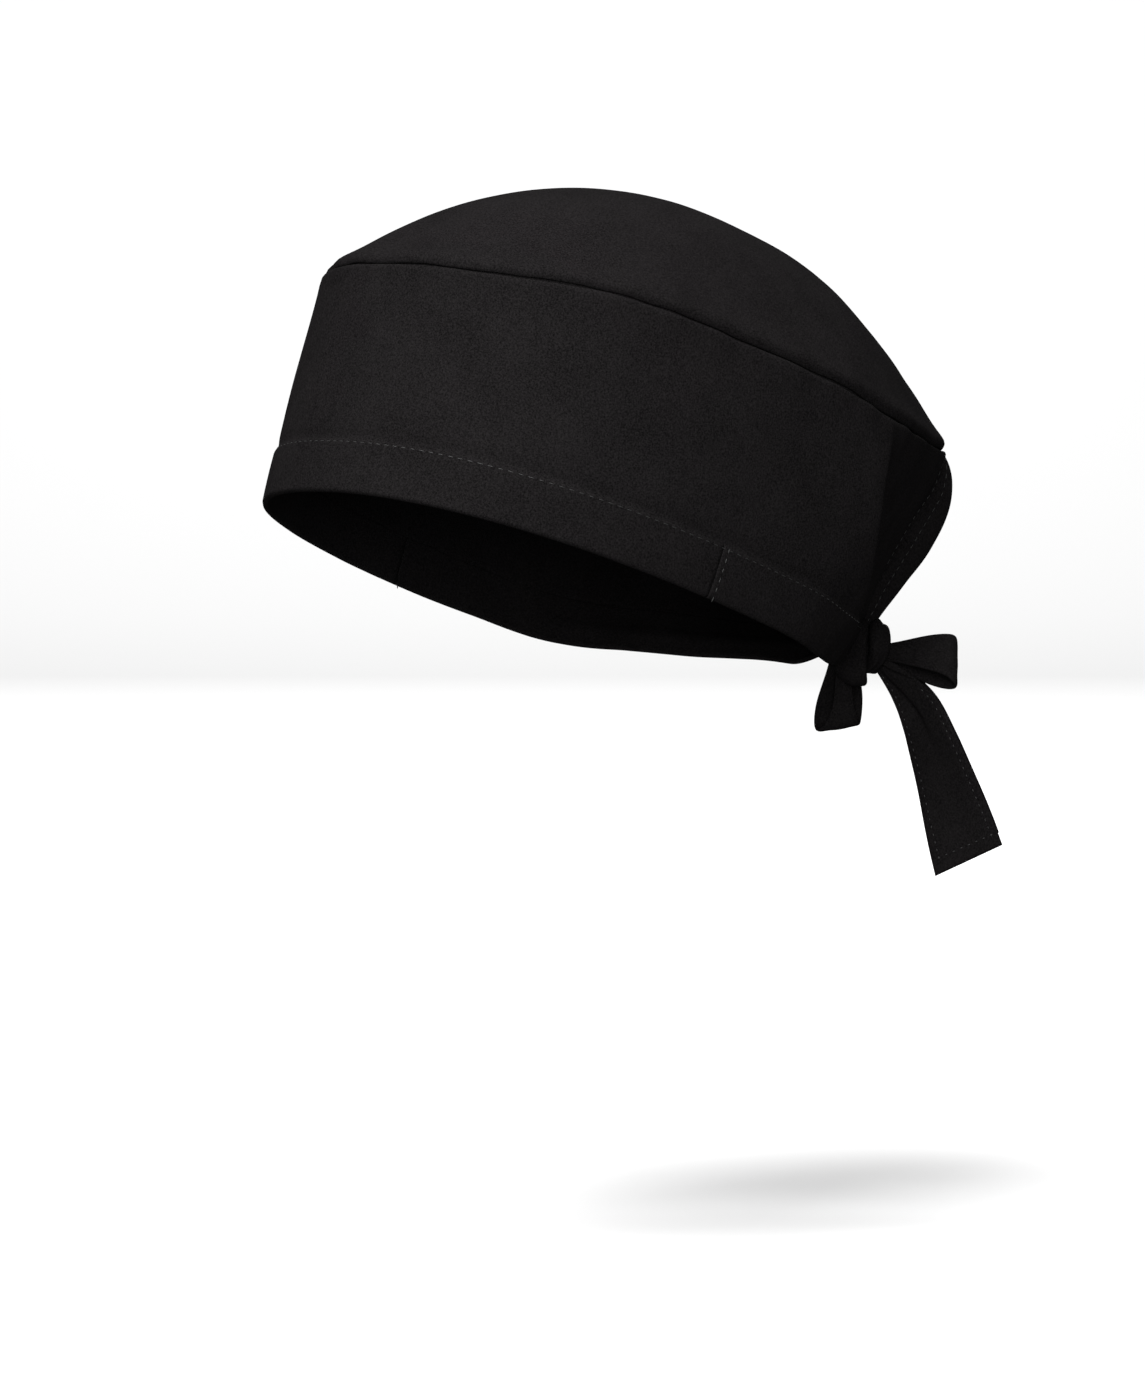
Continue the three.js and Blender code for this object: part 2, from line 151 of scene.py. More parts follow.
def around(column, turn):
    """A column of ROUND, mirrored past both its ends so that it is level there."""
    rows = np.array(ROUND[column])
    mirrored = np.concatenate([rows[1:2], rows, rows[-2:-1]])
    return spline(mirrored, from_front(turn) / ROUND["turn"][1] + 1)


class Noise:
    """Smooth seeded noise between -1 and 1 at points in millimetres."""

    SIDE = 32

    def __init__(self, seed):
        self.table = np.random.default_rng(seed).uniform(-1, 1, (self.SIDE,) * 3)

    def __call__(self, points, size):
        place = np.asarray(points, float) / np.asarray(size, float) + 500.0
        low = np.floor(place).astype(int)
        t = place - low
        t = t * t * t * (t * (t * 6 - 15) + 10)
        total = 0.0
        for dx in (0, 1):
            for dy in (0, 1):
                for dz in (0, 1):
                    cell = np.mod(low + (dx, dy, dz), self.SIDE)
                    share = np.ones(place.shape[:-1])
                    for axis, d in enumerate((dx, dy, dz)):
                        share = share * (t[..., axis] if d else 1 - t[..., axis])
                    total = total + share * self.table[cell[..., 0], cell[..., 1], cell[..., 2]]
        return total


rumple = Noise(11)
pucker_noise = Noise(23)


# The cap's cloth, by turn in degrees from the front, and run: 0 rim, 1 seam, 2 middle of the crown.
def outline(turn, half_width, front, back, nape_power):
    """An oval round the head, squarer or rounder at the brow and at the nape."""
    across, along = np.sin(np.radians(turn)), -np.cos(np.radians(turn))
    power = 2 / mix(BROW_POWER, nape_power, smooth(along * NAPE_BLEND))
    reach = np.where(along < 0, front, back)
    x = half_width * np.sign(across) * np.abs(across) ** power
    y = reach * np.sign(along) * np.abs(along) ** power
    return x, y


def rim_point(turn):
    """The lower edge of the cap, lifted and drawn back at the nape."""
    x, y = outline(turn, RIM_HALF_WIDTH, RIM_FRONT, RIM_BACK, NAPE_POWER)
    away = from_front(turn)
    lift = NAPE_LIFT * smooth((away - NAPE_LIFT_FROM_DEG) / (180 - NAPE_LIFT_FROM_DEG))
    draw = NAPE_DRAW * smooth((away - NAPE_DRAW_FROM_DEG) / (180 - NAPE_DRAW_FROM_DEG))
    return np.stack([x, y + draw, lift], axis=-1)


def seam_point(turn, nape_power=NAPE_POWER):
    x, y = outline(turn, SEAM_HALF_WIDTH, SEAM_FRONT, SEAM_BACK, nape_power)
    return np.stack([x, y, BAND_HEIGHT * around("seam", turn)], axis=-1)


def swell(place, start, end):
    """A fold's fading towards both its ends."""
    share = np.clip((place - start) / (end - start), 0, 1)
    return np.sin(np.pi * share) ** END_POWER


def band_point(turn, up):
    """The side panel between the rim and the seam, with its bulge and folds."""
    point = mix(rim_point(turn), seam_point(turn), up[..., None])
    out = BACK_BULGE * around("bulge", turn) * swell(up, 0, 1)
    for fold in FOLDS:
        away = np.mod(turn, 360) - mix(fold["high"], fold["low"], np.clip(1 - up, 0, 1) ** fold["bend"])
        spread = np.where(away < 0, fold["before"], fold["after"])
        shape = bump(away, spread, fold["power"])
        height = FOLD_DEPTH * fold["out"] * shape * swell(up, 0, 1)
        out = out + height * swell(up, fold["start"], fold["end"])
    point[..., 0] += out * np.sin(np.radians(turn))
    point[..., 1] -= out * np.cos(np.radians(turn))
    return point


def crown_point(turn, rise):
    """The dome above the seam."""
    share = 1 - rise
    edge = seam_point(turn, mix(NAPE_POWER, CROWN_TOP_POWER, rise**5))
    x = edge[..., 0] * share
    y = mix(CROWN_MIDDLE, edge[..., 1], share)
    z = mix(CROWN_HEIGHT, edge[..., 2], share**CROWN_POWER)
    return np.stack([x, y, z], axis=-1)


def cloth(turn, run):
    turn, run = np.broadcast_arrays(np.asarray(turn, float), np.asarray(run, float))
    band = band_point(turn, np.clip(run, -0.2, 1))
    crown = crown_point(turn, np.clip(run - 1, 0, 1))
    return np.where((run <= 1)[..., None], band, crown)


def cloth_normal(turn, run):
    step_turn, step_run = 0.6, 0.012
    along_row = cloth(turn + step_turn, run) - cloth(turn - step_turn, run)
    up_row = cloth(turn, run + step_run) - cloth(turn, run - step_run)
    return unit(np.cross(along_row, up_row))


def band_length(turn):
    return np.linalg.norm(seam_point(turn) - rim_point(turn), axis=-1)


# Lengths round the rim and the seam, so that puckers and stitches have an even pitch.
_ring = np.linspace(-180, 540, 2881)


def _lengths(points):
    steps = np.linalg.norm(np.diff(points, axis=0), axis=1)
    return np.concatenate([[0.0], np.cumsum(steps)])


_seam_lengths = _lengths(seam_point(_ring))
_rim_lengths = _lengths(rim_point(_ring))


def seam_length(turn):
    return np.interp(turn, _ring, _seam_lengths)


def rim_length(turn):
    return np.interp(turn, _ring, _rim_lengths)


def line_noise(length, size, seed_row):
    """Noise along a seam."""
    flat = np.stack([length, np.full_like(length, 7.3 * seed_row), np.zeros_like(length)], axis=-1)
    return pucker_noise(flat, (size, 5.0, 5.0))


def relief(turn, run):
    """How far the cloth stands out of its smooth shape: seams, puckers, small folds and rumples."""
    turn, run = np.broadcast_arrays(np.asarray(turn, float), np.asarray(run, float))
    base = cloth(turn, run)
    height = band_length(turn)
    from_seam = np.where(run <= 1, (1 - run) * height, (run - 1) * CROWN_RUN_LENGTH)
    from_hem = run * height - HEM_WIDTH
    on_crown = run > 1
    along = seam_length(turn)

    # The crown seam: a groove, a soft roll beside it, and puckers that die out away from it.
    out = -SEAM_GROOVE * bump(from_seam, SEAM_GROOVE_REACH)
    out += np.where(on_crown, CROWN_ROLL, BAND_ROLL) * bump(from_seam - ROLL_PLACE, ROLL_REACH)
    long_pucker = line_noise(along, LONG_PUCKER_SIZE, 1)
    short_pucker = line_noise(along, SHORT_PUCKER_SIZE, np.where(on_crown, 3, 2))
    puckers = LONG_PUCKER * long_pucker + SHORT_PUCKER * short_pucker
    out += puckers * bump(from_seam, PUCKER_REACH, 1.3)

    # The stitched line of the hem: the panel dips to it.
    out += np.where(from_hem >= 0, -HEM_DIP * bump(from_hem, HEM_DIP_REACH), 0.0)
    hem_pucker = line_noise(rim_length(turn), 9.0, 5) + 0.6 * line_noise(rim_length(turn), 4.0, 6)
    out += HEM_PUCKER * hem_pucker * bump(from_hem, HEM_PUCKER_REACH, 1.2)

    # The seam up the middle of the back: a groove with small puckers on both sides.
    from_back = (np.mod(turn, 360) - 180) * BACK_MM_PER_DEG
    on_back = smooth((1.0 - run) * height / 3) * smooth(from_hem / 3)
    back_pucker = BACK_PUCKER * line_noise(run * height, BACK_PUCKER_SIZE, 8)
    back_groove = -BACK_GROOVE * bump(from_back, BACK_GROOVE_REACH)
    out += on_back * (back_groove + back_pucker * bump(from_back, BACK_PUCKER_REACH, 1.3))

    # Slack cloth: broad and small rumples, stronger on the back half and between the seams.
    slack = (0.45 + 0.55 * smooth((from_front(turn) - 60) / 90)) * np.where(on_crown, 0.6, 1.0)
    free = 1 - 0.8 * bump(from_hem, 9.0)
    out += slack * free * BROAD_RUMPLE * rumple(base, BROAD_RUMPLE_SIZE)
    out += slack * free * SMALL_RUMPLE * rumple(base + 91.0, SMALL_RUMPLE_SIZE)
    return out


# Grids of points made into meshes.
WORN = np.array(Matrix.Rotation(math.radians(-WORN_TILT_DEG), 3, "X"))


def to_row(points):
    return np.asarray(points, float) @ WORN.T * MM


knot_place = WORN @ np.array([KNOT_ASIDE, KNOT_BACK, NAPE_LIFT + KNOT_LIFT], float)
_bow_turn = np.array(Matrix.Rotation(math.radians(BOW_TURN_DEG), 3, "Z"))


def bow_to_row(points):
    """From the bow's frame (x aside, -y to its near side, z up, origin in the knot) to the row frame."""
    return (np.asarray(points, float) @ _bow_turn.T + knot_place) * MM


def make_piece(name, vertices, faces, uvs, material, replaced=()):
    """A mesh object with one UV per vertex, smooth faces and its place in its mesh."""
    mesh = bpy.data.meshes.new(name)
    mesh.from_pydata([tuple(v) for v in vertices], [], [tuple(f) for f in faces])
    layer = mesh.uv_layers.new(name="cloth")
    corners = np.empty(len(mesh.loops), dtype=np.int32)
    mesh.loops.foreach_get("vertex_index", corners)
    layer.data.foreach_set("uv", np.asarray(uvs, float)[corners].ravel())
    mesh.polygons.foreach_set("use_smooth", [True] * len(mesh.polygons))
    mesh.materials.append(material)
    mesh.update()
    made = bpy.data.objects.new(name, mesh)
    bpy.context.scene.collection.objects.link(made)
    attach(made, "root")
    if replaced:
        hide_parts(*replaced)
    return made


def grid_faces(rows, columns, round_columns=False, round_rows=False, start=0):
    """Quads of a grid of vertices, row by row, facing along columns x rows."""
    spans = columns if round_columns else columns - 1
    tiers = rows if round_rows else rows - 1
    j, i = np.meshgrid(np.arange(tiers), np.arange(spans), indexing="ij")
    j, i = j.ravel(), i.ravel()
    nj, ni = (j + 1) % rows, (i + 1) % columns
    quads = np.stack([j * columns + i, j * columns + ni, nj * columns + ni, nj * columns + i], axis=1)
    return (quads + start).tolist()


def crowded_turns(start, end, count, closed):
    """Angles round the cap, crowded towards the back, where the folds are."""
    even = np.linspace(start, end, count + 1)
    turns = even + 24 * np.sin(np.radians(even))
    return turns[:-1] if closed else turns


EDGE_STEPS = np.linspace(0, math.pi, 6)


def section_rows(count, inner_count, wall, near_edges=(0.9, 1.6, 2.4, 3.4, 4.6)):
    """A cloth wall's section as (share, offset in mm, depth): up its outside, over its top edge,
    down its inside and round its bottom edge."""
    r = wall / 2
    rows = [(0.0, d, 0.0) for d in near_edges]
    rows += [(s, near_edges[-1] * (1 - 2 * s), 0.0) for s in np.linspace(0, 1, count + 2)[1:-1]]
    rows += [(1.0, -d, 0.0) for d in reversed(near_edges)]
    rows += [(1.0, -r * (1 - math.sin(a)), r * (1 - math.cos(a))) for a in EDGE_STEPS]
    rows += [(s, 0.0, wall) for s in np.linspace(1, 0, inner_count + 2)[1:-1]]
    rows += [(0.0, r * (1 - math.sin(a)), r * (1 - math.cos(a))) for a in EDGE_STEPS[::-1]]
    return rows


def cap_piece(name, turns, start, end, rows, material, proud=0.0, closed=False, replaced=()):
    """A piece of the cap's wall. start and end give its edges as runs at each angle."""
    length = band_length(turns)
    low, high = start(turns), end(turns)
    points, uvs = [], []
    for share, offset, depth in rows:
        run = mix(low, high, share) + offset / length
        out = proud(turns, run) if callable(proud) else proud
        place = cloth(turns, run) + cloth_normal(turns, run) * (out + relief(turns, run) - depth)[..., None]
        points.append(place)
        uvs.append(np.stack([seam_length(turns), run * length], axis=-1))
    vertices = np.concatenate(points)
    faces = grid_faces(len(rows), len(turns), round_columns=closed, round_rows=True)
    if not closed:
        count = len(turns)
        first = [j * count for j in range(len(rows))]
        last = [j * count + count - 1 for j in range(len(rows))]
        faces += [first, last[::-1]]
    return make_piece(name, to_row(vertices), faces, np.concatenate(uvs) * MM, material, replaced)


def crown_piece(name, turns, rows_out, rows_in, material, replaced):
    """The crown: a closed dome of cloth with its edge rolled into the seam."""
    length = band_length(turns)
    low = 1 + SEAM_GAP / length
    r = CLOTH_WALL / 2
    near = (0.9, 1.6, 2.4, 3.4, 4.6)
    section = [(0.0, r * (1 - math.sin(a)), r * (1 - math.cos(a))) for a in EDGE_STEPS[::-1]]
    section += [(0.0, d, 0.0) for d in near]
    section += [(s, near[-1] * (1 - s), 0.0) for s in np.linspace(0, 0.985, rows_out + 1)[1:]]
    inner = [(s, 0.0, CLOTH_WALL) for s in np.linspace(0, 0.985, rows_in + 1)[1:]]

    def ring(share, offset, depth):
        run = mix(low, 2.0, share) + offset / CROWN_RUN_LENGTH
        place = cloth(turns, run) + cloth_normal(turns, run) * (relief(turns, run) - depth)[..., None]
        return place, place[..., :2]

    rings = [ring(*row) for row in reversed(inner)] + [ring(*row) for row in section]
    vertices = [p for p, _ in rings]
    uvs = [f for _, f in rings]
    faces = grid_faces(len(rings), len(turns), round_columns=True)
    top = cloth(np.array([0.0]), np.array([2.0]))
    lift = relief(np.array([0.0]), np.array([1.999]))
    outer_pole = top + (0, 0, lift[0])
    inner_pole = top + (0, 0, lift[0] - CLOTH_WALL)
    count, columns = len(rings), len(turns)
    pole = count * columns
    for i in range(columns):
        following = (i + 1) % columns
        faces.append([(count - 1) * columns + i, (count - 1) * columns + following, pole])
        faces.append([following, i, pole + 1])
    vertices = np.concatenate(vertices + [outer_pole, inner_pole])
    uvs = np.concatenate(uvs + [outer_pole[:, :2], inner_pole[:, :2]])
    return make_piece(name, to_row(vertices), faces, uvs * MM, material, replaced)


# Flat strips of cloth: loops, tails and the wraps of the knot.
def strip_piece(name, middle, across, width, material, columns=18, wall=TIE_WALL, profile=None,
                edge_power=14.0, normals=None, replaced=()):
    """A strip with rounded long edges. profile(t, s) lifts it along its normal, t across from -0.5
    to 0.5 and s along from 0 to 1."""
    middle, across = np.asarray(middle, float), unit(np.asarray(across, float))
    count = len(middle)
    tangent = unit(np.gradient(middle, axis=0))
    normal = unit(np.cross(across, tangent)) if normals is None else unit(np.asarray(normals, float))
    # Columns crowd towards the edges, where the strip turns over.
    t = 0.5 * np.sin(np.linspace(-0.5, 0.5, columns + 1) * math.pi)
    s = np.linspace(0, 1, count)
    tt, ss = np.meshgrid(t, s)
    lift = profile(tt, ss) if profile else np.zeros_like(tt)
    half = 0.5 * wall * np.sqrt(np.clip(1 - np.abs(2 * tt) ** edge_power, 0, 1))
    half = half * np.sqrt(np.clip(1 - np.abs(2 * ss - 1) ** 90, 0, 1))
    base = middle[:, None, :] + across[:, None, :] * (tt * np.asarray(width)[:, None])[..., None]
    outer = base + normal[:, None, :] * (lift + half)[..., None]
    inner = base + normal[:, None, :] * (lift - half)[..., None]
    n = columns + 1
    vertices = np.concatenate([outer.reshape(-1, 3), inner.reshape(-1, 3)])
    lengths = np.concatenate([[0], np.cumsum(np.linalg.norm(np.diff(middle, axis=0), axis=1))])
    uv = np.stack([tt * TIE_WIDTH, np.broadcast_to(lengths[:, None], tt.shape)], axis=-1).reshape(-1, 2)
    uvs = np.concatenate([uv, uv + (0, 3.0)])
    faces = grid_faces(count, n)
    back = grid_faces(count, n, start=count * n)
    faces += [f[::-1] for f in back]
    made = make_piece(name, bow_to_row(vertices), faces, uvs * MM, material, replaced)
    weld(made)
    return made


def weld(made):
    """Joins the two faces of a strip along their common edges."""
    bm = bmesh.new()
    bm.from_mesh(made.data)
    bmesh.ops.remove_doubles(bm, verts=bm.verts, dist=1e-6)
    bmesh.ops.dissolve_degenerate(bm, edges=bm.edges, dist=1e-7)
    bmesh.ops.recalc_face_normals(bm, faces=bm.faces)
    bm.to_mesh(made.data)
    bm.free()


# The tail's middle line as shares of its length, its width, its twist out of the bow's plane and
# how far its end is cut askew.
TAIL = {
    "aside": (0.02, 0.09, 0.175, 0.25, 0.31, 0.385, 0.475),
    "down": (0.0, 0.1, 0.2, 0.31, 0.46, 0.68, 0.975),
    "width": (0.3, 0.36, 0.56, 0.8, 0.97, 1.01, 1.04),
    "twist": (30, 30, 30, 33, 34, 24, 3),
    "skew": (0, 0, 0, 0, 0, 3, 9),
}


def tail_line(length, shift, steps=150):
    share = np.linspace(0, 1, steps)
    place = share * (len(TAIL["aside"]) - 1)
    aside, down = spline(TAIL["aside"], place) * length, spline(TAIL["down"], place) * length
    middle = np.stack([aside, np.zeros_like(aside), -down], axis=-1) + shift
    along = unit(np.gradient(middle, axis=0))
    level = np.stack([-along[:, 2], np.zeros(steps), along[:, 0]], axis=-1)
    twist = np.radians(spline(TAIL["twist"], place))[:, None]
    skew = np.radians(spline(TAIL["skew"], place))[:, None]
    across = level * np.cos(twist) + np.cross(along, level) * np.sin(twist)
    across = across * np.cos(skew) - along * np.sin(skew)
    width = spline(TAIL["width"], place) * TIE_WIDTH
    return middle, across, width


def tail_profile(seed):
    def profile(t, s):
        near_knot = 1 - smooth(s / 0.42)
        # A pleat that leaves the knot and runs out at the outer edge, and a soft dent beside it.
        past = t - (2.1 * s - 0.22)
        pleat = -2.4 * smooth(past / 0.07 + 0.5) * np.exp(-np.maximum(past, 0) / 0.35) * near_knot
        pleat += 1.2 * bump(past + 0.06, 0.12) * near_knot
        middle = -0.3 + 0.62 * (s - 0.2)
        spread = np.where(t < middle, 0.2, 0.1)
        dent = 2.6 * bump(t - middle, spread) * bump(s - 0.4, 0.19)
        flat = np.stack([t * 40 + seed, s * 100, np.zeros_like(t)], axis=-1)
        soft = 0.4 * rumple(flat, (16.0, 22.0, 10.0)) * (1 - near_knot * 0.5)
        edges = smooth((np.abs(t) - 0.36) / 0.05) + smooth((s - 0.955) / 0.02)
        hem = 0.14 * edges * smooth((s - 0.25) / 0.1)
        return pleat + dent + soft + np.minimum(hem, 0.14)

    return profile


# The loops: length, start (aside, lower) and gape as shares of LOOP_LENGTH, angle below level, lean of
# the cloth's width, skew of its fold, and widths and shifts at the knot, on the near face, at the fold, on
# the far face and at the knot again, as shares of TIE_WIDTH and LOOP_LENGTH.
LOOPS = {
    "left": dict(length=1.0, aside=0.06, lower=0.07, droop=6, lean=34, gape=0.46, skew=-0.22, side=1,
                 widths=(0.25, 0.56, 0.78, 0.72, 0.25), shift=(0, 0.03, 0.0, -0.04, 0)),
    "right": dict(length=0.86, aside=-0.27, lower=0.1, droop=86, lean=-16, gape=0.4, skew=0.25, side=-1,
                  widths=(0.2, 0.3, 0.6, 0.66, 0.4), shift=(0, 0.02, 0.0, 0.0, 0)),
}


def loop_line(length, aside, lower, droop, lean, gape, skew, side, widths, shift, steps=130):
    """A loop's middle line, its direction across and its widths, from the knot round and back."""
    reach = length * LOOP_LENGTH
    d, l = math.radians(droop), math.radians(-side * lean)
    out = Vector((side * math.cos(d), 0, -math.sin(d)))
    upright = Vector((0, -1, 0)).cross(out) * -side
    across = Matrix.Rotation(l, 3, out) @ upright
    towards = np.array(out.cross(across))
    towards = towards * (1 if towards[1] < 0 else -1)
    across = across - out * skew
    turn = np.linspace(LOOP_MOUTH_TURN, 2 * math.pi - LOOP_MOUTH_TURN, steps)
    far = (1 - np.cos(turn)) / 2
    middle = np.outer(far**0.66 * reach, np.array(out)) + np.array([aside, 0, -lower]) * LOOP_LENGTH
    middle += np.outer(gape * LOOP_LENGTH / 2 * np.sin(turn) * np.sqrt(far), towards)
    place = np.linspace(0, len(widths) - 1, steps)
    middle += np.outer(spline(shift, place) * LOOP_LENGTH, np.array(across))
    return middle, np.tile(np.array(across), (steps, 1)), TIE_WIDTH * spline(widths, place)


def loop_profile(seed):
    def profile(t, s):
        near_knot = np.abs(2 * s - 1) ** 1.6
        pleat = 0.8 * np.cos(2 * np.pi * (t * 1.3 + 0.15 + seed * 0.21)) * near_knot
        flat = np.stack([t * 40 + 13 * seed, s * 120, np.zeros_like(t)], axis=-1)
        return pleat + 0.35 * rumple(flat, (14.0, 18.0, 10.0))

    return profile


def wrap_line(points, widths, steps=60):
    """A strip that wraps over the knot: it faces away from the knot's middle all along."""
    place = np.linspace(0, len(points) - 1, steps)
    middle = spline(points, place)
    width = spline(widths, place)
    tangent = unit(np.gradient(middle, axis=0))
    outward = unit(middle - tangent * np.sum(middle * tangent, axis=1, keepdims=True))
    across = np.cross(tangent, outward)
    return middle, across, width, outward


# Materials.
def add_node(tree, kind, place, **settings):
    node = tree.nodes.new(kind)
    node.location = place
    for key, value in settings.items():
        setattr(node, key, value)
    return node


def cloth_material(name, shade, mottle, thread=0.00042):
    """Matte black woven cloth: fine twill, slight rumple and mottled dye, on the piece's UV map."""
    material = bpy.data.materials.new(name)
    material.use_nodes = True
    tree = material.node_tree
    tree.nodes.clear()
    output = add_node(tree, "ShaderNodeOutputMaterial", (900, 0))
    shader = add_node(tree, "ShaderNodeBsdfPrincipled", (600, 0))
    shader.inputs["Roughness"].default_value = 0.95
    shader.inputs["Specular IOR Level"].default_value = 0.002
    shader.inputs["Sheen Weight"].default_value = 0.001
    shader.inputs["Sheen Roughness"].default_value = 0.45
    shader.inputs["Sheen Tint"].default_value = (0.8, 0.8, 0.83, 1)
    uv = add_node(tree, "ShaderNodeUVMap", (-1200, 0), uv_map="cloth")
    place = add_node(tree, "ShaderNodeTexCoord", (-1200, -300))

    # Dye: broad soft mottling, and a grain of lighter and darker threads.
    broad = add_node(tree, "ShaderNodeTexNoise", (-800, 200))
    broad.inputs["Scale"].default_value = 55
    broad.inputs["Detail"].default_value = 3
    broad.inputs["Roughness"].default_value = 0.6
    grain = add_node(tree, "ShaderNodeTexNoise", (-800, -50))
    grain.inputs["Scale"].default_value = 1900
    grain.inputs["Detail"].default_value = 3
    grain.inputs["Roughness"].default_value = 0.7
    both = add_node(tree, "ShaderNodeMix", (-550, 120), data_type="FLOAT")
    both.inputs["Factor"].default_value = 0.86
    ramp = add_node(tree, "ShaderNodeValToRGB", (-300, 120))
    ramp.color_ramp.elements[0].position = 0.36
    ramp.color_ramp.elements[1].position = 0.64
    dark, light = shade * (1 - mottle * 5), shade * (1 + mottle * 5)
    ramp.color_ramp.elements[0].color = (dark * 1.05, dark * 0.97, dark, 1)
    ramp.color_ramp.elements[1].color = (light * 1.06, light * 0.97, light, 1)
    tree.links.new(place.outputs["Object"], broad.inputs["Vector"])
    tree.links.new(place.outputs["Object"], grain.inputs["Vector"])
    tree.links.new(broad.outputs["Fac"], both.inputs["A"])
    tree.links.new(grain.outputs["Fac"], both.inputs["B"])
    tree.links.new(both.outputs["Result"], ramp.inputs["Fac"])
    tree.links.new(ramp.outputs["Color"], shader.inputs["Base Color"])

    # Weave: the ribs of a fine twill, crossed by its threads.
    ribs = add_node(tree, "ShaderNodeTexWave", (-800, -350), wave_type="BANDS", bands_direction="DIAGONAL")
    ribs.inputs["Scale"].default_value = 0.16 / thread
    ribs.inputs["Distortion"].default_value = 0.6
    ribs.inputs["Detail"].default_value = 1
    weft = add_node(tree, "ShaderNodeTexWave", (-800, -650), wave_type="BANDS", bands_direction="Y")
    weft.inputs["Scale"].default_value = 0.31 / thread
    weft.inputs["Distortion"].default_value = 0.8
    threads = add_node(tree, "ShaderNodeMix", (-550, -450), data_type="FLOAT")
    threads.inputs["Factor"].default_value = 0.4
    fuzz = add_node(tree, "ShaderNodeTexNoise", (-800, -950))
    fuzz.inputs["Scale"].default_value = 2200
    fuzz.inputs["Detail"].default_value = 2
    height = add_node(tree, "ShaderNodeMix", (-350, -550), data_type="FLOAT")
    height.inputs["Factor"].default_value = 0.5
    weave = add_node(tree, "ShaderNodeBump", (100, -400))
    weave.inputs["Strength"].default_value = 0.35
    weave.inputs["Distance"].default_value = 0.00012
    soft = add_node(tree, "ShaderNodeTexNoise", (-350, -850))
    soft.inputs["Scale"].default_value = 160
    soft.inputs["Detail"].default_value = 3
    soft_bump = add_node(tree, "ShaderNodeBump", (350, -500))
    soft_bump.inputs["Strength"].default_value = 0.25
    soft_bump.inputs["Distance"].default_value = 0.0006
    tree.links.new(uv.outputs["UV"], ribs.inputs["Vector"])
    tree.links.new(uv.outputs["UV"], weft.inputs["Vector"])
    tree.links.new(place.outputs["Object"], fuzz.inputs["Vector"])
    tree.links.new(place.outputs["Object"], soft.inputs["Vector"])
    tree.links.new(ribs.outputs["Fac"], threads.inputs["A"])
    tree.links.new(weft.outputs["Fac"], threads.inputs["B"])
    tree.links.new(threads.outputs["Result"], height.inputs["A"])
    tree.links.new(fuzz.outputs["Fac"], height.inputs["B"])
    tree.links.new(height.outputs["Result"], weave.inputs["Height"])
    tree.links.new(soft.outputs["Fac"], soft_bump.inputs["Height"])
    tree.links.new(weave.outputs["Normal"], soft_bump.inputs["Normal"])
    tree.links.new(soft_bump.outputs["Normal"], shader.inputs["Normal"])
    tree.links.new(shader.outputs["BSDF"], output.inputs["Surface"])
    return material


def thread_material(name, shade):
    """Spun polyester sewing thread: a twist along each stitch and a little gloss."""
    material = bpy.data.materials.new(name)
    material.use_nodes = True
    tree = material.node_tree
    shader = tree.nodes["Principled BSDF"]
    shader.inputs["Roughness"].default_value = 0.55
    shader.inputs["Specular IOR Level"].default_value = 0.4
    place = add_node(tree, "ShaderNodeTexCoord", (-800, 0))
    twist = add_node(tree, "ShaderNodeTexNoise", (-600, 0))
    twist.inputs["Scale"].default_value = 2500
    ramp = add_node(tree, "ShaderNodeValToRGB", (-350, 0))
    ramp.color_ramp.elements[0].color = (shade * 0.75,) * 3 + (1,)
    ramp.color_ramp.elements[1].color = (shade * 1.25,) * 3 + (1,)
    tree.links.new(place.outputs["Object"], twist.inputs["Vector"])
    tree.links.new(twist.outputs["Fac"], ramp.inputs["Fac"])
    tree.links.new(ramp.outputs["Color"], shader.inputs["Base Color"])
    return material


